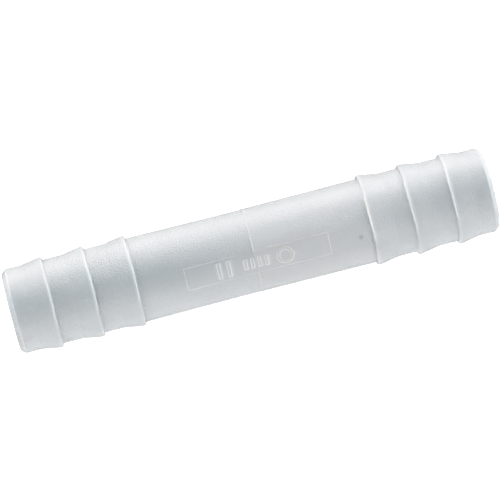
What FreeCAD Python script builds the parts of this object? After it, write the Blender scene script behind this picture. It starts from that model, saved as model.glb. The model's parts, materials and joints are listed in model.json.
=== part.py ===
"""Straight push-on coupling for 12 mm hose: one moulded tube with three hose barbs at each end.

Frame: +X along the flow axis, +Z up as the tube lies on its barbs with the marking panel leaning
forward (towards -Y), origin at the centre of the tube, on its axis. All sizes are in millimetres.
"""
import FreeCAD
import Part

import math
import os

# ---- driving dimensions -------------------------------------------------------------------------
LENGTH = 70.0                   # end to end
BORE_RADIUS = 4.7
BORE_CHAMFER = 0.35             # at both mouths

# The middle is drafted: it narrows from both inner barbs towards the ring line at mid-length, where
# the two mould inserts meet with a small step between them.
ROOT_RADIUS = 6.10              # between the barbs, and where the middle meets them
LEFT_WAIST_RADIUS = 5.97
RIGHT_WAIST_RADIUS = 6.02
RING_LINE_RADIUS = 6.06         # the raised witness line round the waist
RING_LINE_HALF_WIDTH = 0.06

# Barbs: a steep rear face towards the middle, a short cylindrical crest, a taper towards the tip.
BARB_POSITIONS = (17.0, 23.0, 29.0)     # rear faces, from the centre
CREST_RADIUS = 6.55
REAR_FACE_LEAN = 0.15
CREST_ROUNDING = 0.18
CREST_END = 0.50                # from the rear face
TAPER_END = 3.10                # from the rear face
TAPER_ROUNDING = 3.0

# Tips: a slight flare, then a rounded lead-in for the hose.
FLARE_START = 1.9               # from the end
FLARE_RADIUS = 6.16
LEAD_IN_LENGTH = 0.70
LEAD_IN_DEPTH = 0.62
LEAD_IN_ROUNDING = 0.30

# The marking panel: a smooth field with a thin raised outline, and raised generic marks inside it.
PANEL_CENTRE = 0.25             # along X
PANEL_LENGTH = 20.9
PANEL_HALF_ANGLE = 15.9         # degrees round the tube, each side of its middle
PANEL_LEAN = 30.0               # degrees from +Z towards -Y, at its middle
OUTLINE_WIDTH = 0.14
OUTLINE_HEIGHT = 0.04
MARK_STROKE = 0.42
MARK_HEIGHT = 0.08
LONG_BARS = (-5.3, -3.9)        # X of each upright bar
LONG_BAR_LENGTH = 2.3
SHORT_BARS = (-1.5, -0.5, 0.5, 1.5)
SHORT_BAR_LENGTH = 1.5
MARK_RING_X = 4.2
MARK_RING_RADIUS = 1.2          # outside
PAD_FOOT_RADIUS = 5.5           # raised work starts inside the wall, at this radius

X_AXIS = FreeCAD.Vector(1, 0, 0)
Z_AXIS = FreeCAD.Vector(0, 0, 1)
CENTRE = FreeCAD.Vector(0, 0, 0)


def side_outline(waist_radius):
    """Corners of one half's outline, from the ring line to the tip, as (x, radius, rounding)."""
    corners = [(RING_LINE_HALF_WIDTH, waist_radius, 0.0)]
    for rear in BARB_POSITIONS:
        corners.append((rear - REAR_FACE_LEAN, ROOT_RADIUS, 0.0))
        corners.append((rear, CREST_RADIUS, CREST_ROUNDING))
        corners.append((rear + CREST_END, CREST_RADIUS, 0.0))
        corners.append((rear + TAPER_END, ROOT_RADIUS, TAPER_ROUNDING))
    end = LENGTH / 2
    corners.append((end - FLARE_START, ROOT_RADIUS, 0.0))
    corners.append((end - LEAD_IN_LENGTH, FLARE_RADIUS, LEAD_IN_ROUNDING))
    corners.append((end, FLARE_RADIUS - LEAD_IN_DEPTH, LEAD_IN_ROUNDING))
    return corners


def mirrored(corners):
    """The same corners on the -X side, still in order of rising X."""
    return [(-x, radius, rounding) for x, radius, rounding in reversed(corners)]


def tangent_points(before, corner, after, rounding):
    """Where an arc of that radius leaves each side of a corner, and the arc's own middle."""
    back = (before - corner).normalize()
    ahead = (after - corner).normalize()
    half_turn = back.getAngle(ahead) / 2
    reach = rounding / math.tan(half_turn)
    bisector = (back + ahead).normalize()
    arc_middle = corner + bisector * (rounding / math.sin(half_turn) - rounding)
    return corner + back * reach, arc_middle, corner + ahead * reach


def rounded_face(corners):
    """A closed face in the XY plane, with the corners rounded as each one says."""
    points = [FreeCAD.Vector(x, radius, 0) for x, radius, _ in corners]
    edges = []
    for index, (_, _, rounding) in enumerate(corners):
        corner = points[index]
        if rounding:
            before = points[index - 1]
            after = points[(index + 1) % len(points)]
            start, middle, stop = tangent_points(before, corner, after, rounding)
            arc = Part.Arc(start, middle, stop).toShape()
        else:
            start = stop = corner
            arc = None
        if index:
            edges.append(Part.LineSegment(last, start).toShape())
        else:
            first = start
        if arc:
            edges.append(arc)
        last = stop
    edges.append(Part.LineSegment(last, first).toShape())
    return Part.Face(Part.Wire(edges))


def turned(corners):
    """The solid that a face in the XY plane sweeps in one turn about X."""
    return rounded_face(corners).revolve(CENTRE, X_AXIS, 360)


def tube():
    """The barbed outside with the bore through it."""
    end = LENGTH / 2
    mouth = BORE_RADIUS + BORE_CHAMFER
    inside = [
        (end, mouth, 0.0),
        (end - BORE_CHAMFER, BORE_RADIUS, 0.0),
        (BORE_CHAMFER - end, BORE_RADIUS, 0.0),
        (-end, mouth, 0.0),
    ]
    ring_line = [
        (-RING_LINE_HALF_WIDTH / 2, RING_LINE_RADIUS, 0.0),
        (RING_LINE_HALF_WIDTH / 2, RING_LINE_RADIUS, 0.0),
    ]
    left = mirrored(side_outline(LEFT_WAIST_RADIUS))
    right = side_outline(RIGHT_WAIST_RADIUS)
    return turned(left + ring_line + right + inside)


def middle_skin(height):
    """A shell over the drafted middle that stands out from it by one height all along the panel."""
    reach = PANEL_LENGTH / 2 + abs(PANEL_CENTRE) + OUTLINE_WIDTH
    draft_length = BARB_POSITIONS[0] - REAR_FACE_LEAN
    left_end = LEFT_WAIST_RADIUS + (ROOT_RADIUS - LEFT_WAIST_RADIUS) * reach / draft_length
    right_end = RIGHT_WAIST_RADIUS + (ROOT_RADIUS - RIGHT_WAIST_RADIUS) * reach / draft_length
    return turned([
        (-reach, PAD_FOOT_RADIUS, 0.0),
        (-reach, left_end + height, 0.0),
        (0.0, LEFT_WAIST_RADIUS + height, 0.0),
        (0.0, RIGHT_WAIST_RADIUS + height, 0.0),
        (reach, right_end + height, 0.0),
        (reach, PAD_FOOT_RADIUS, 0.0),
    ])


def prism(length, width, x):
    """An upright block above the axis, centred on x."""
    corner = FreeCAD.Vector(x - length / 2, -width / 2, 0)
    return Part.makeBox(length, width, 2 * ROOT_RADIUS, corner)


def outline_cutter():
    """The panel's outline, seen from above, as an upright frame."""
    width = 2 * ROOT_RADIUS * math.sin(math.radians(PANEL_HALF_ANGLE))
    outer = prism(PANEL_LENGTH, width, PANEL_CENTRE)
    inner = prism(PANEL_LENGTH - 2 * OUTLINE_WIDTH, width - 2 * OUTLINE_WIDTH, PANEL_CENTRE)
    return outer.cut(inner)


def mark_cutters():
    """Every raised mark, seen from above, as an upright solid."""
    cutters = [prism(MARK_STROKE, LONG_BAR_LENGTH, x) for x in LONG_BARS]
    cutters += [prism(MARK_STROKE, SHORT_BAR_LENGTH, x) for x in SHORT_BARS]
    foot = FreeCAD.Vector(MARK_RING_X, 0, 0)
    outer = Part.makeCylinder(MARK_RING_RADIUS, 2 * ROOT_RADIUS, foot, Z_AXIS)
    inner = Part.makeCylinder(MARK_RING_RADIUS - MARK_STROKE, 2 * ROOT_RADIUS, foot, Z_AXIS)
    cutters.append(outer.cut(inner))
    return cutters


def connector_body():
    """The whole moulding. The raised work is made facing +Z, then turned to the panel's lean."""
    raised = [middle_skin(OUTLINE_HEIGHT).common(outline_cutter())]
    marks_skin = middle_skin(MARK_HEIGHT)
    raised += [marks_skin.common(cutter) for cutter in mark_cutters()]
    for shape in raised:
        shape.rotate(CENTRE, X_AXIS, PANEL_LEAN)
    return tube().fuse(raised).removeSplitter()


os.makedirs("parts", exist_ok=True)
body = connector_body()
body.exportStep("parts/connector_body.step")
print("solids", len(body.Solids), "valid", body.isValid(), "volume mm3", round(body.Volume, 2))
print("box", body.BoundBox)
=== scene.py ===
"""Looks for the straight push-on hose coupling: one moulded tube of natural, milky plastic."""

import json
import math

import bpy
import numpy as np
from mathutils import Matrix, Vector


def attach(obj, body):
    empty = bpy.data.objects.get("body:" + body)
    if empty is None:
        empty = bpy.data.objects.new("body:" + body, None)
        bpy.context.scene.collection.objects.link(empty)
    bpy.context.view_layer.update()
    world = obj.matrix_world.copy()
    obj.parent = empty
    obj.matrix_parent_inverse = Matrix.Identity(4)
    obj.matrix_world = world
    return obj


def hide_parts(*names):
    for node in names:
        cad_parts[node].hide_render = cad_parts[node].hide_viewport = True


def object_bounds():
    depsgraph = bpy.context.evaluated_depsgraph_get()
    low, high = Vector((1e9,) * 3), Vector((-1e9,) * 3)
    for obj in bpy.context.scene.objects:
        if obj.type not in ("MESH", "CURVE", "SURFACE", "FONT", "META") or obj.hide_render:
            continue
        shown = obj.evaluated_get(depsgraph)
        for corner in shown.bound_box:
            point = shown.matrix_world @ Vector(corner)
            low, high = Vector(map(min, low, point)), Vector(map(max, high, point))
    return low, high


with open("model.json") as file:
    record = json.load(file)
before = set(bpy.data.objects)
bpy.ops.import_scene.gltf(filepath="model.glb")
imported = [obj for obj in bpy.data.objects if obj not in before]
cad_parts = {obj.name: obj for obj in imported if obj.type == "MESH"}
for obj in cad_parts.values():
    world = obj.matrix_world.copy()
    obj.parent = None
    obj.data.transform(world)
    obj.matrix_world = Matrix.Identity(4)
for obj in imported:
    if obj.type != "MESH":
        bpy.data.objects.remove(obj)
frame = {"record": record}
cad_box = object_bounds()

MM = 0.001
mount_sizes = {mount["name"]: mount["dims"] for mount in frame["record"]["mounts"]}

# ---- the moulding, in millimetres, in the CAD's own frame ---------------------------------------
HALF_LENGTH = cad_box[1][0] / MM
CREST_RADIUS = cad_box[1][1] / MM
BORE_RADIUS = mount_sizes["flow_bore"]["r_mm"]
BORE_CHAMFER = 0.35
MOUTH_ROUNDING = 0.08           # where the chamfer meets the end face
ROOT_RADIUS = 6.10              # between the barbs, and where the middle meets them
LEFT_WAIST_RADIUS = 5.97
RIGHT_WAIST_RADIUS = 6.02
RING_LINE_HALF_WIDTH = 0.06
RING_LINE_HEIGHT = 0.07
RING_LINE_HIDDEN = 0.8          # share of it that is lost inside the panel

BARB_POSITIONS = (17.0, 23.0, 29.0)     # rear faces, from the centre
REAR_FACE_LEAN = 0.15
FOOT_ROUNDING = 0.08
CREST_ROUNDING = 0.18
CREST_END = 0.50                # from the rear face
CREST_END_ROUNDING = 0.6
TAPER_END = 3.10                # from the rear face
TAPER_ROUNDING = 3.0

FLARE_START = 1.9               # from the end
FLARE_RADIUS = 6.16
LEAD_IN_LENGTH = 0.70
LEAD_IN_DEPTH = 0.62
LEAD_IN_ROUNDING = 0.30

PANEL_CENTRE = 0.25             # along X
PANEL_LENGTH = 20.9
PANEL_HALF_ANGLE = 15.9         # degrees round the tube, each side of its middle
PANEL_LEAN = 30.0               # degrees from +Z towards -Y, at its middle
OUTLINE_WIDTH = 0.14
OUTLINE_HEIGHT = 0.05
MARK_STROKE = 0.42
MARK_HEIGHT = 0.08
MARK_SLOPE = 0.10               # how far a mark's side runs from its top to its foot
LONG_BARS = (-5.3, -3.9)        # X of each upright bar
LONG_BAR_LENGTH = 2.3
SHORT_BARS = (-1.5, -0.5, 0.5, 1.5)
SHORT_BAR_LENGTH = 1.5
MARK_RING_X = 4.2
MARK_RING_RADIUS = 1.2          # outside

# ---- mesh steps ---------------------------------------------------------------------------------
COARSE_STEP = 0.7               # millimetres along the tube
FINE_STEP = 0.05
COARSE_TURN = 2.0               # degrees round the tube
FINE_TURN = 0.5
ARC_STEPS = 5                   # on each rounded corner
RING_LINE_ZONE = 0.2            # fine steps this far each side of the ring line
PANEL_END_ZONE = 0.25           # and each side of the panel's ends
PANEL_SIDE_ZONE = 1.0           # degrees past the panel's long sides
BORE_RINGS = 24
BORE_INSET = 2.0                # from the end face to the first of them

# ---- colours with painted light and shade, and how much whiter than the plain wall a painted highlight makes a place ---
# Places along the tube are in millimetres. Turns are in degrees from +Z towards -Y.
BLUE_SHADED_PLASTIC = (0.72, 0.77, 0.80)    # the plain wall on the left half, towards the top; the blue that fades from there down the sides is painted shade colour
NEUTRAL = (0.755, 0.77, 0.78)   # the same wall on the right half and low on the sides
RIGHT_NEUTRAL = 0.6             # how far the right half goes from the bluer wall to NEUTRAL
BACK_NEUTRAL = 1.0              # how far the back goes, down its side
FRONT_NEUTRAL = 0.6             # how far the front goes

# Painted highlights along the crests, lines and marks, and painted light and shade on the lead-ins.
CREST_PAINTED_HIGHLIGHT = 0.26
CREST_HIGHLIGHT_REACH = 0.14         # each side of the crest's rounded edge
CREST_HIGHLIGHT_FADE_START = 22.0         # degrees from BRIGHT_TURN, where it starts to fade
CREST_HIGHLIGHT_FADE_STOP = 42.0
CREST_HIGHLIGHT_LEFT = 0.2           # share of it that is left down the sides
FOOT_PAINTED_HIGHLIGHT = 0.03                # painted highlight where a taper ends
FOOT_HIGHLIGHT_REACH = 0.12
TIP_PAINTED_LIGHT = 0.16                 # painted light on the right end's lead-in, all across
TIP_PAINTED_SHADE = 0.07                 # painted shade: the left end's is greyer
TIP_LINE_PAINTED_HIGHLIGHT = 0.24            # with a painted highlight along its inner edge
TIP_LINE_REACH = 0.13
# painted highlights along the ring line and the panel's outline
RING_LINE_PAINTED_HIGHLIGHT = 0.17
OUTLINE_PAINTED_HIGHLIGHT = 0.32
MARK_PAINTED_HIGHLIGHT = 0.32                # painted highlight along the edge of a raised mark
LINE_HALF_WIDTH = 0.03          # of the outline and of a mark's edge
LINE_EASE = 0.07
BRIGHT_STRETCHES = ((-10.4, -6.5), (2.2, 6.2), (8.9, 10.4))     # where the outline's painted highlight is strong, along X
BRIGHT_STRETCH_EASE = 0.4       # past each end of a stretch
FAINT_OUTLINE = 0.30            # elsewhere on the outline, as a share of its painted highlight
LOWER_OUTLINE = 0.4             # share of a bright stretch's extra that its lower edge has
LOWER_START = 0.9               # from the panel's middle towards -Y, where that starts
LOWER_EASE = 0.6

RIGHT_TONE_AND_PAINTED_LIGHT = 0.165              # partly the right half's paler tone, partly painted light: it is this much brighter towards the top
RIGHT_SIDE_PAINTED_SHADE = 0.215              # and painted shade takes this much off it down the sides
LEFT_SHARE = 0.55               # of both, on the left half at the ring line
LEFT_EASE = 14.0                # from the ring line to where that share is gone
RIGHT_FADE = 0.75               # share of both that is gone near the right end
RIGHT_FADE_START = 8.0          # from the centre
RIGHT_FADE_EASE = 22.0
BRIGHT_TURN = 9.0               # the middle of that brightness
BRIGHT_HALF_TURN = 2.0
SIDE_HALF_TURN = 44.0
BACK_PAINTED_SHADE = 0.13                # painted shade on the side that faces the band of light
BACK_TURN = -76.0
BACK_FLAT = 10.0                # degrees each side of BACK_TURN before it starts to ease off
BACK_EASE = 32.0
UNDER_PAINTED_LIGHT = 0.13               # painted light low in front, standing in for light that comes through the wall
UNDER_TURN = 104.0
UNDER_FLAT = 10.0
UNDER_EASE = 36.0

LEFT_GRAIN = 1.2                # the left half's mould insert is the coarser one
RIGHT_GRAIN = 0.85
SPIGOT_GRAIN = 0.25             # how much more of it the spigots have
SPIGOT_GRAIN_START = 14.0       # from the centre
SPIGOT_GRAIN_EASE = 8.0
SMOOTH_EASE = 0.05              # past a rear face, which has no grain

# ---- the plastic --------------------------------------------------------------------------------
REFRACTION = 1.49
GLOSS_ROUGHNESS = 0.09
SCATTER = 0.0002                # how far light travels inside the wall, in metres
SCATTER_BY_COLOUR = (1.0, 1.05, 1.1)
GRAIN_SCALE = 5500              # grains along a metre
GRAIN_DEPTH = 0.00008           # metres
SPECK_X = 15.13                 # a small dark fleck near the right inner barb
SPECK_TURN = 32.6
SPECK_RADIUS = 0.5
SPECK_SHADE = 0.70

# ---- the stage ----------------------------------------------------------------------------------
SHEET_HALF_SIZE = 3.0           # metres
SHEET_GAP = 0.02                # millimetres under the barbs
SHEET_ROUGHNESS = 0.9
TABLE_SHADE = 0.78
TABLE_GLOW = 0.05
FLOOR_SHADE = 0.6
FLOOR_GLOW = 0.7

# The dome, by degrees round the tube from straight up towards +Y, and by the sine of the angle
# past an end of the tube.
BAND_START = 51.0
BAND_PEAK = 71.0
HORIZON = 90.0
BAND_LIGHT = 6.6
BAND_FOOT = 0.62                # at the horizon, as a share of BAND_LIGHT
BAND_RIGHT_GAIN = 1.08          # the band is this much brighter past the right end
BAND_RIGHT_START = 0.20
BAND_RIGHT_FULL = 0.35
ENDS_LIGHT = 4.1
ENDS_START = 0.3
ENDS_FULL = 0.63
ENDS_TURN_START = 7.0           # the light past the ends grows from here, on round towards -Y
ENDS_TURN_FULL = -58.0

CAMERA_DISTANCE = 0.440         # metres
CAMERA_LEAN = 12.65             # degrees from straight overhead, towards -Y
CAMERA_TILT = 3.0               # degrees towards the left end
CAMERA_ROLL = 14.51             # the tube rises by this much to the right
AIM_ALONG = -0.12               # millimetres from the tube's centre to where the camera points
AIM_ACROSS = 0.085
SENSOR = 36.0                   # millimetres wide
FRAME_WIDTH = 0.0708            # metres that the frame spans at the tube's axis
CLIP_START = 0.01               # metres


def march(start, stop, fine_zones, coarse, fine):
    """Places from start to stop, close together inside the fine zones."""
    edges = {edge for zone in fine_zones for edge in zone if start < edge < stop}
    cuts = sorted(edges | {start, stop})
    places = [start]
    for low, high in zip(cuts, cuts[1:]):
        middle = (low + high) / 2
        close = any(first < middle < last for first, last in fine_zones)
        steps = max(1, round((high - low) / (fine if close else coarse)))
        places += [low + (high - low) * step / steps for step in range(1, steps + 1)]
    return places


def rounded(corners):
    """The outline through (x, radius, rounding) corners, with each rounded one as a short arc."""
    points = [Vector((x, radius)) for x, radius, _ in corners]
    outline = []
    for index, (_, _, rounding) in enumerate(corners):
        corner = points[index]
        if not rounding:
            outline.append(corner)
            continue
        back = (points[index - 1] - corner).normalized()
        ahead = (points[index + 1] - corner).normalized()
        half = back.angle(ahead) / 2
        centre = corner + (back + ahead).normalized() * rounding / math.sin(half)
        first = corner + back * rounding / math.tan(half) - centre
        last = corner + ahead * rounding / math.tan(half) - centre
        for step in range(ARC_STEPS + 1):
            along = first.lerp(last, step / ARC_STEPS)
            outline.append(centre + along.normalized() * rounding)
    return [(point.x, point.y) for point in outline]


def end_outline():
    """One end's outline, from the foot of its inner barb to the rim of the bore."""
    corners = [(BARB_POSITIONS[0] - 2 * REAR_FACE_LEAN, ROOT_RADIUS, 0.0)]
    for rear in BARB_POSITIONS:
        corners.append((rear - REAR_FACE_LEAN, ROOT_RADIUS, FOOT_ROUNDING))
        corners.append((rear, CREST_RADIUS, CREST_ROUNDING))
        corners.append((rear + CREST_END, CREST_RADIUS, CREST_END_ROUNDING))
        corners.append((rear + TAPER_END, ROOT_RADIUS, TAPER_ROUNDING))
    corners.append((HALF_LENGTH - FLARE_START, ROOT_RADIUS, 0.0))
    corners.append((HALF_LENGTH - LEAD_IN_LENGTH, FLARE_RADIUS, LEAD_IN_ROUNDING))
    corners.append((HALF_LENGTH, FLARE_RADIUS - LEAD_IN_DEPTH, LEAD_IN_ROUNDING))
    corners.append((HALF_LENGTH, BORE_RADIUS + BORE_CHAMFER, MOUTH_ROUNDING))
    corners.append((HALF_LENGTH - BORE_CHAMFER, BORE_RADIUS, 0.0))
    return rounded(corners)


def waist_radius(x):
    """The drafted middle, without its raised work."""
    foot = BARB_POSITIONS[0] - REAR_FACE_LEAN
    waist = np.where(x < 0, LEFT_WAIST_RADIUS, RIGHT_WAIST_RADIUS)
    return waist + (ROOT_RADIUS - waist) * np.abs(x) / foot


def middle_stations():
    """Rings along the drafted middle, close together where something is raised."""
    reach = BARB_POSITIONS[0] - 2 * REAR_FACE_LEAN
    ring_half = MARK_RING_RADIUS + MARK_SLOPE
    bar_half = MARK_STROKE / 2 + MARK_SLOPE
    zones = [(-RING_LINE_ZONE, RING_LINE_ZONE), (MARK_RING_X - ring_half, MARK_RING_X + ring_half)]
    zones += [(x - bar_half, x + bar_half) for x in LONG_BARS + SHORT_BARS]
    for side in (-1, 1):
        edge = PANEL_CENTRE + side * PANEL_LENGTH / 2
        zones.append((edge - PANEL_END_ZONE, edge + PANEL_END_ZONE))
    return march(-reach, reach, zones, COARSE_STEP, FINE_STEP)[1:-1]


def fade(distance, reach):
    """1 where distance is below 0, easing to 0 at reach."""
    part = np.clip(distance / reach, 0, 1)
    return 1 - part * part * (3 - 2 * part)


def box_distance(x, y, half_x, half_y):
    """Distance outside a rectangle centred on the origin, negative inside."""
    dx = np.abs(x) - half_x
    dy = np.abs(y) - half_y
    outside = np.hypot(np.maximum(dx, 0), np.maximum(dy, 0))
    return outside + np.minimum(np.maximum(dx, dy), 0)


def panel_distance(x, across):
    """Distance outside the marking panel's edge, negative inside."""
    half_width = math.radians(PANEL_HALF_ANGLE) * ROOT_RADIUS
    return box_distance(x - PANEL_CENTRE, across, PANEL_LENGTH / 2, half_width)


def mark_distance(x, across):
    """Distance outside the nearest raised mark, negative on top of it."""
    half = MARK_STROKE / 2
    shapes = [box_distance(x - at, across, half, LONG_BAR_LENGTH / 2) for at in LONG_BARS]
    shapes += [box_distance(x - at, across, half, SHORT_BAR_LENGTH / 2) for at in SHORT_BARS]
    radial = np.hypot(x - MARK_RING_X, across)
    shapes.append(np.abs(radial - (MARK_RING_RADIUS - half)) - half)
    return np.minimum.reduce(shapes)


def panel_field(x, across):
    """1 inside the panel's outline, easing to 0 across it."""
    return fade(panel_distance(x, across) + OUTLINE_WIDTH, OUTLINE_WIDTH)


def ring_line(x, across):
    """1 on the raised line round the waist, less where it crosses the panel."""
    return fade(np.abs(x), 2 * RING_LINE_HALF_WIDTH) * (1 - RING_LINE_HIDDEN * panel_field(x, across))


def relief(x, across):
    """How far the outline, the ring line and the marks stand out from the drafted middle."""
    outline = fade(np.abs(panel_distance(x, across) + OUTLINE_WIDTH / 2), OUTLINE_WIDTH / 2)
    marks = fade(mark_distance(x, across), MARK_SLOPE)
    heights = [OUTLINE_HEIGHT * outline, RING_LINE_HEIGHT * ring_line(x, across), MARK_HEIGHT * marks]
    return np.maximum.reduce(heights)


def thin_line(distance):
    """1 along a line, easing to 0 a little way from it."""
    return fade(np.abs(distance) - LINE_HALF_WIDTH, LINE_EASE)


def outline_painted_highlight(x, across):
    """Painted highlight along the panel's outline, bright only along some stretches and less so on its
    lower edge.
    """
    strong = np.zeros_like(x)
    for start, stop in BRIGHT_STRETCHES:
        past = np.abs(x - (start + stop) / 2) - (stop - start) / 2
        strong = np.maximum(strong, fade(past, BRIGHT_STRETCH_EASE))
    strong = strong * (LOWER_OUTLINE + (1 - LOWER_OUTLINE) * fade(across - LOWER_START, LOWER_EASE))
    line = thin_line(panel_distance(x, across) + OUTLINE_WIDTH / 2)
    return OUTLINE_PAINTED_HIGHLIGHT * (line * (FAINT_OUTLINE + (1 - FAINT_OUTLINE) * strong))


def barb_painted_highlights(x, turn):
    """A painted highlight along each crest, brightest at the top, and a faint one where each taper
    ends.
    """
    top = fade(np.abs(turn - BRIGHT_TURN) - CREST_HIGHLIGHT_FADE_START, CREST_HIGHLIGHT_FADE_STOP - CREST_HIGHLIGHT_FADE_START)
    crest_highlight = CREST_PAINTED_HIGHLIGHT * (CREST_HIGHLIGHT_LEFT + (1 - CREST_HIGHLIGHT_LEFT) * top)
    extra = np.zeros_like(x)
    for rear in BARB_POSITIONS:
        crest = np.abs(x) - rear - CREST_ROUNDING / 2
        foot = np.abs(x) - rear - TAPER_END
        extra = extra + crest_highlight * fade(np.abs(crest), CREST_HIGHLIGHT_REACH)
        extra = extra + FOOT_PAINTED_HIGHLIGHT * fade(np.abs(foot), FOOT_HIGHLIGHT_REACH)
    return extra


def tip_painted_light_and_shade(x):
    """Painted light making the right lead-in pale, painted shade making the left one greyer, and a
    painted highlight along its inner edge.
    """
    lead_in = HALF_LENGTH - LEAD_IN_LENGTH
    right = TIP_PAINTED_LIGHT * fade(lead_in + TIP_LINE_REACH - x, TIP_LINE_REACH)
    left = TIP_PAINTED_SHADE * fade(lead_in + TIP_LINE_REACH + x, TIP_LINE_REACH)
    return right - left + TIP_LINE_PAINTED_HIGHLIGHT * fade(np.abs(x + lead_in), TIP_LINE_REACH)


def painted_highlights_and_shade(x, across, turn):
    """How much whiter each place outside is than the plain wall, from painted highlights on thin and
    raised edges and painted light and shade on the lead-ins.
    """
    lines = RING_LINE_PAINTED_HIGHLIGHT * ring_line(x, across) + MARK_PAINTED_HIGHLIGHT * thin_line(mark_distance(x, across))
    return outline_painted_highlight(x, across) + lines + barb_painted_highlights(x, turn) + tip_painted_light_and_shade(x)


def wall_colour_and_painted_light(x, turn):
    """Base colour round the tube: bluer on the left half, paler and more neutral on the right, with
    painted light and shade by turn round the tube.
    """
    left_rise = LEFT_SHARE * (1 - fade(x + LEFT_EASE, LEFT_EASE))
    right_fall = 1 - RIGHT_FADE * (1 - fade(x - RIGHT_FADE_START, RIGHT_FADE_EASE))
    right = np.where(x < 0, left_rise, right_fall)
    from_bright = np.abs(turn - BRIGHT_TURN) - BRIGHT_HALF_TURN
    down = 1 - fade(from_bright, SIDE_HALF_TURN - BRIGHT_HALF_TURN)
    # Painted light towards the top of the right half, and painted shade down its sides.
    gain = 1 + right * (RIGHT_TONE_AND_PAINTED_LIGHT - RIGHT_SIDE_PAINTED_SHADE * down)
    # Painted shade on the side that faces the band of light.
    gain = gain * (1 - BACK_PAINTED_SHADE * fade(np.abs(turn - BACK_TURN) - BACK_FLAT, BACK_EASE))
    # Painted light low in front.
    gain = gain * (1 + UNDER_PAINTED_LIGHT * fade(np.abs(turn - UNDER_TURN) - UNDER_FLAT, UNDER_EASE))
    # The blue fades down the sides: painted shade colour.
    side_neutral = np.where(turn < BRIGHT_TURN, BACK_NEUTRAL, FRONT_NEUTRAL)
    blue = ((1 - RIGHT_NEUTRAL * right) * (1 - side_neutral * down))[..., None]
    return gain[..., None] * (np.array(NEUTRAL) + blue * (np.array(BLUE_SHADED_PLASTIC) - np.array(NEUTRAL)))


def grain_strength(x, across):
    """How deep the grain is: none in the panel or on a rear face, most on the left spigot."""
    coarse = np.where(x < 0, LEFT_GRAIN, RIGHT_GRAIN) * (1 - panel_field(x, across))
    on_spigot = 1 - fade(np.abs(x) - SPIGOT_GRAIN_START, SPIGOT_GRAIN_EASE)
    coarse = coarse * (1 + SPIGOT_GRAIN * on_spigot)
    for rear in BARB_POSITIONS:
        coarse = coarse * (1 - fade(np.abs(np.abs(x) - rear) - REAR_FACE_LEAN, SMOOTH_EASE))
    return coarse


def grid_faces(rings, columns):
    """The corner numbers of each face of a grid that closes on itself both ways."""
    corner = np.arange(rings * columns).reshape(rings, columns)
    next_ring = np.roll(corner, -1, axis=0)
    faces = [corner, next_ring, np.roll(next_ring, -1, axis=1), np.roll(corner, -1, axis=1)]
    return np.stack(faces, axis=-1).reshape(-1, 4)


def placed(name, data):
    """A new object in the scene."""
    piece = bpy.data.objects.new(name, data)
    bpy.context.collection.objects.link(piece)
    return piece


def moulding():
    """The whole tube as one closed mesh, turned about X. Turns run from +Z towards -Y."""
    right = end_outline()
    left = [(-x, radius) for x, radius in reversed(right)]
    middle = [(x, float(waist_radius(np.float64(x)))) for x in middle_stations()]
    bore_end = HALF_LENGTH - BORE_INSET
    bore = [(x, BORE_RADIUS) for x in np.linspace(bore_end, -bore_end, BORE_RINGS)]
    section = np.array(left + middle + right + bore)
    waist = slice(len(left), len(left) + len(middle))
    outside = slice(len(left) + len(middle) + len(right))

    fine = PANEL_HALF_ANGLE + PANEL_SIDE_ZONE
    from_panel = np.array(march(-fine, 360 - fine, [(-fine, fine)], COARSE_TURN, FINE_TURN)[:-1])
    x = section[:, :1] + 0 * from_panel
    radius = section[:, 1:] + 0 * from_panel
    across = np.radians((from_panel + 180) % 360 - 180) * ROOT_RADIUS + 0 * x
    turn = from_panel + PANEL_LEAN
    radius[waist] += relief(x, across)[waist]

    angle = np.radians(turn)
    points = np.stack([x, -radius * np.sin(angle), radius * np.cos(angle)], axis=-1) * MM
    mesh = bpy.data.meshes.new("connector_moulding")
    mesh.from_pydata(points.reshape(-1, 3).tolist(), [], grid_faces(*x.shape).tolist())
    mesh.shade_smooth()

    turn = (turn + 180) % 360 - 180 + 0 * x
    # Base colour with painted light and shade, then painted highlights on the outside.
    colour = wall_colour_and_painted_light(x, turn)
    colour[outside] *= 1 + painted_highlights_and_shade(x, across, turn)[outside, :, None]
    rgba = np.concatenate([colour, np.ones_like(colour[..., :1])], axis=-1)
    # The colour attribute carries the painted light, shade and highlights.
    colour_and_painted_light = mesh.color_attributes.new("colour_and_painted_light", "FLOAT_COLOR", "POINT")
    colour_and_painted_light.data.foreach_set("color", np.clip(rgba, 0, 1).ravel())
    grain = mesh.attributes.new("grain", "FLOAT", "POINT")
    grain.data.foreach_set("value", grain_strength(x, across).ravel())
    mesh.validate()
    return placed("connector_moulding", mesh)


# ---- materials ----------------------------------------------------------------------------------
def eased(nodes, links, value, start, stop, low, high):
    """An eased step of a value, from low at start to high at stop."""
    step = nodes.new("ShaderNodeMapRange")
    step.interpolation_type = "SMOOTHSTEP"
    step.inputs["From Min"].default_value = start
    step.inputs["From Max"].default_value = stop
    step.inputs["To Min"].default_value = low
    step.inputs["To Max"].default_value = high
    links.new(value, step.inputs["Value"])
    return step.outputs["Result"]


def joined(nodes, links, operation, first, second):
    """Two values joined by one operation."""
    node = nodes.new("ShaderNodeMath")
    node.operation = operation
    links.new(first, node.inputs[0])
    links.new(second, node.inputs[1])
    return node.outputs["Value"]


def new_material(name):
    """A material with one plain shader, as (material, nodes, links, shader)."""
    material = bpy.data.materials.new(name)
    material.use_nodes = True
    nodes = material.node_tree.nodes
    links = material.node_tree.links
    nodes.clear()
    output = nodes.new("ShaderNodeOutputMaterial")
    shader = nodes.new("ShaderNodeBsdfPrincipled")
    links.new(shader.outputs["BSDF"], output.inputs["Surface"])
    return material, nodes, links, shader


def attribute(nodes, name):
    """A value that each point of the mesh carries."""
    node = nodes.new("ShaderNodeAttribute")
    node.attribute_name = name
    return node


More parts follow.
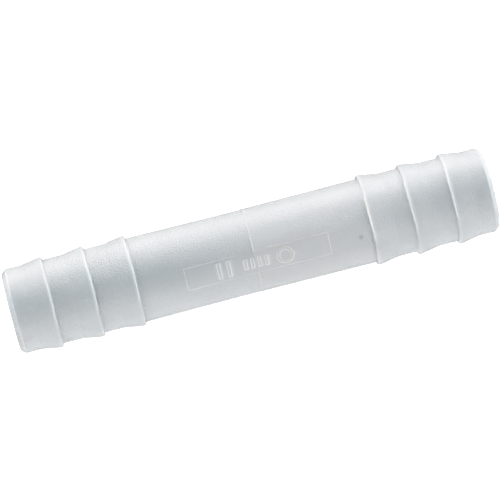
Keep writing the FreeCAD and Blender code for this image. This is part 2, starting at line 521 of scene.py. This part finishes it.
def flecked(nodes, links, place, colour):
    """A colour, with one small dark fleck in it."""
    turn = math.radians(SPECK_TURN)
    centre = Vector((SPECK_X, -ROOT_RADIUS * math.sin(turn), ROOT_RADIUS * math.cos(turn)))
    distance = nodes.new("ShaderNodeVectorMath")
    distance.operation = "DISTANCE"
    distance.inputs[1].default_value = centre * MM
    links.new(place, distance.inputs[0])
    shade = eased(nodes, links, distance.outputs["Value"], 0.0, SPECK_RADIUS * MM, SPECK_SHADE, 1.0)
    shaded = nodes.new("ShaderNodeVectorMath")
    shaded.operation = "SCALE"
    links.new(colour, shaded.inputs[0])
    links.new(shade, shaded.inputs["Scale"])
    return shaded.outputs["Vector"]


def grained(nodes, links, place, strength):
    """A surface direction with the fine grain of a spark-eroded mould in it."""
    noise = nodes.new("ShaderNodeTexNoise")
    noise.inputs["Scale"].default_value = GRAIN_SCALE
    noise.inputs["Detail"].default_value = 0
    bump = nodes.new("ShaderNodeBump")
    bump.inputs["Distance"].default_value = GRAIN_DEPTH
    links.new(place, noise.inputs["Vector"])
    height = joined(nodes, links, "MULTIPLY", noise.outputs["Fac"], strength)
    links.new(height, bump.inputs["Height"])
    return bump.outputs["Normal"]


def milky_plastic():
    """Natural polypropylene: it scatters light inside, and is grained outside the panel."""
    material, nodes, links, shader = new_material("natural_polypropylene")
    shader.inputs["IOR"].default_value = REFRACTION
    shader.inputs["Roughness"].default_value = GLOSS_ROUGHNESS
    shader.inputs["Subsurface Weight"].default_value = 1.0
    shader.inputs["Subsurface Radius"].default_value = SCATTER_BY_COLOUR
    shader.inputs["Subsurface Scale"].default_value = SCATTER
    place = nodes.new("ShaderNodeTexCoord").outputs["Object"]
    # The colour attribute carries painted light, shade and highlights; one dark fleck is added to it.
    colour = flecked(nodes, links, place, attribute(nodes, "colour_and_painted_light").outputs["Color"])
    normal = grained(nodes, links, place, attribute(nodes, "grain").outputs["Fac"])
    links.new(colour, shader.inputs["Base Color"])
    links.new(normal, shader.inputs["Normal"])
    return material


def matte(name, shade, glow):
    """A matt neutral surface that also glows a little, as a lit sheet of paper does."""
    material, _, _, shader = new_material(name)
    shader.inputs["Base Color"].default_value = (shade, shade, shade, 1)
    shader.inputs["Roughness"].default_value = SHEET_ROUGHNESS
    shader.inputs["Specular IOR Level"].default_value = 0.0
    shader.inputs["Emission Color"].default_value = (1, 1, 1, 1)
    shader.inputs["Emission Strength"].default_value = glow
    return material


# ---- stage --------------------------------------------------------------------------------------
def sheet_of(name, material):
    """A wide level sheet under the barbs."""
    height = cad_box[0][2] - SHEET_GAP * MM
    ends = ((-1, -1), (1, -1), (1, 1), (-1, 1))
    corners = [(x * SHEET_HALF_SIZE, y * SHEET_HALF_SIZE, height) for x, y in ends]
    mesh = bpy.data.meshes.new(name)
    mesh.from_pydata(corners, [], [(0, 1, 2, 3)])
    mesh.materials.append(material)
    piece = placed(name, mesh)
    return piece


def floor():
    """A pale grey table that lights the object, and a white floor that only the camera sees."""
    table = sheet_of("table", matte("grey_table", TABLE_SHADE, TABLE_GLOW))
    table.visible_camera = False
    white = sheet_of("white_floor", matte("white_floor", FLOOR_SHADE, FLOOR_GLOW))
    white.visible_diffuse = False
    white.visible_glossy = False
    white.visible_transmission = False
    white.visible_shadow = False


def sky():
    """A studio dome: dim overhead, a bright band low behind, and soft light past both ends in front."""
    world = bpy.data.worlds.new("studio")
    bpy.context.scene.world = world
    world.use_nodes = True
    nodes = world.node_tree.nodes
    links = world.node_tree.links
    nodes.clear()
    output = nodes.new("ShaderNodeOutputWorld")
    background = nodes.new("ShaderNodeBackground")
    place = nodes.new("ShaderNodeTexCoord")
    parts = nodes.new("ShaderNodeSeparateXYZ")
    links.new(place.outputs["Generated"], parts.inputs["Vector"])
    along = parts.outputs["X"]
    around = joined(nodes, links, "ARCTAN2", parts.outputs["Y"], parts.outputs["Z"])

    peak = math.radians(BAND_PEAK)
    rise = eased(nodes, links, around, math.radians(BAND_START), peak, 0.0, BAND_LIGHT)
    fall = eased(nodes, links, around, peak, math.radians(HORIZON), 1.0, BAND_FOOT)
    rightward = eased(nodes, links, along, BAND_RIGHT_START, BAND_RIGHT_FULL, 1.0, BAND_RIGHT_GAIN)
    band = joined(nodes, links, "MULTIPLY", rise, fall)
    band = joined(nodes, links, "MULTIPLY", band, rightward)

    sideways = nodes.new("ShaderNodeMath")
    sideways.operation = "ABSOLUTE"
    links.new(along, sideways.inputs[0])
    ends = eased(nodes, links, sideways.outputs["Value"], ENDS_START, ENDS_FULL, 0.0, ENDS_LIGHT)
    front_start = math.radians(ENDS_TURN_START)
    front_full = math.radians(ENDS_TURN_FULL)
    front = eased(nodes, links, around, front_start, front_full, 0.0, 1.0)
    ends = joined(nodes, links, "MULTIPLY", ends, front)
    links.new(joined(nodes, links, "ADD", band, ends), background.inputs["Strength"])
    links.new(background.outputs["Background"], output.inputs["Surface"])


def aim(thing, place, target, up):
    """Puts a camera at a place, looking at a target, with that way up."""
    back = (place - target).normalized()
    right = up.cross(back).normalized()
    axes = Matrix((right, back.cross(right), back)).transposed()
    thing.matrix_world = Matrix.Translation(place) @ axes.to_4x4()


def camera():
    """A long lens, nearly overhead."""
    lens = bpy.data.cameras.new("camera")
    lens.sensor_width = SENSOR
    lens.lens = SENSOR * CAMERA_DISTANCE / FRAME_WIDTH
    lens.clip_start = CLIP_START
    piece = placed("camera", lens)
    lean = math.radians(CAMERA_LEAN)
    tilt = math.radians(CAMERA_TILT)
    roll = math.radians(CAMERA_ROLL)
    forward = -math.cos(tilt) * math.sin(lean)
    out = Vector((-math.sin(tilt), forward, math.cos(tilt) * math.cos(lean)))
    along = (Vector((1, 0, 0)) - out * out.x).normalized()
    across = out.cross(along)
    target = (along * AIM_ALONG + across * AIM_ACROSS) * MM
    up = across * math.cos(roll) + along * math.sin(roll)
    aim(piece, target + out * CAMERA_DISTANCE, target, up)
    bpy.context.scene.camera = piece


body = moulding()
body.data.materials.append(milky_plastic())
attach(body, "root")
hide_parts("connector_body")

floor()
sky()
camera()
bpy.context.scene.view_settings.view_transform = "Standard"
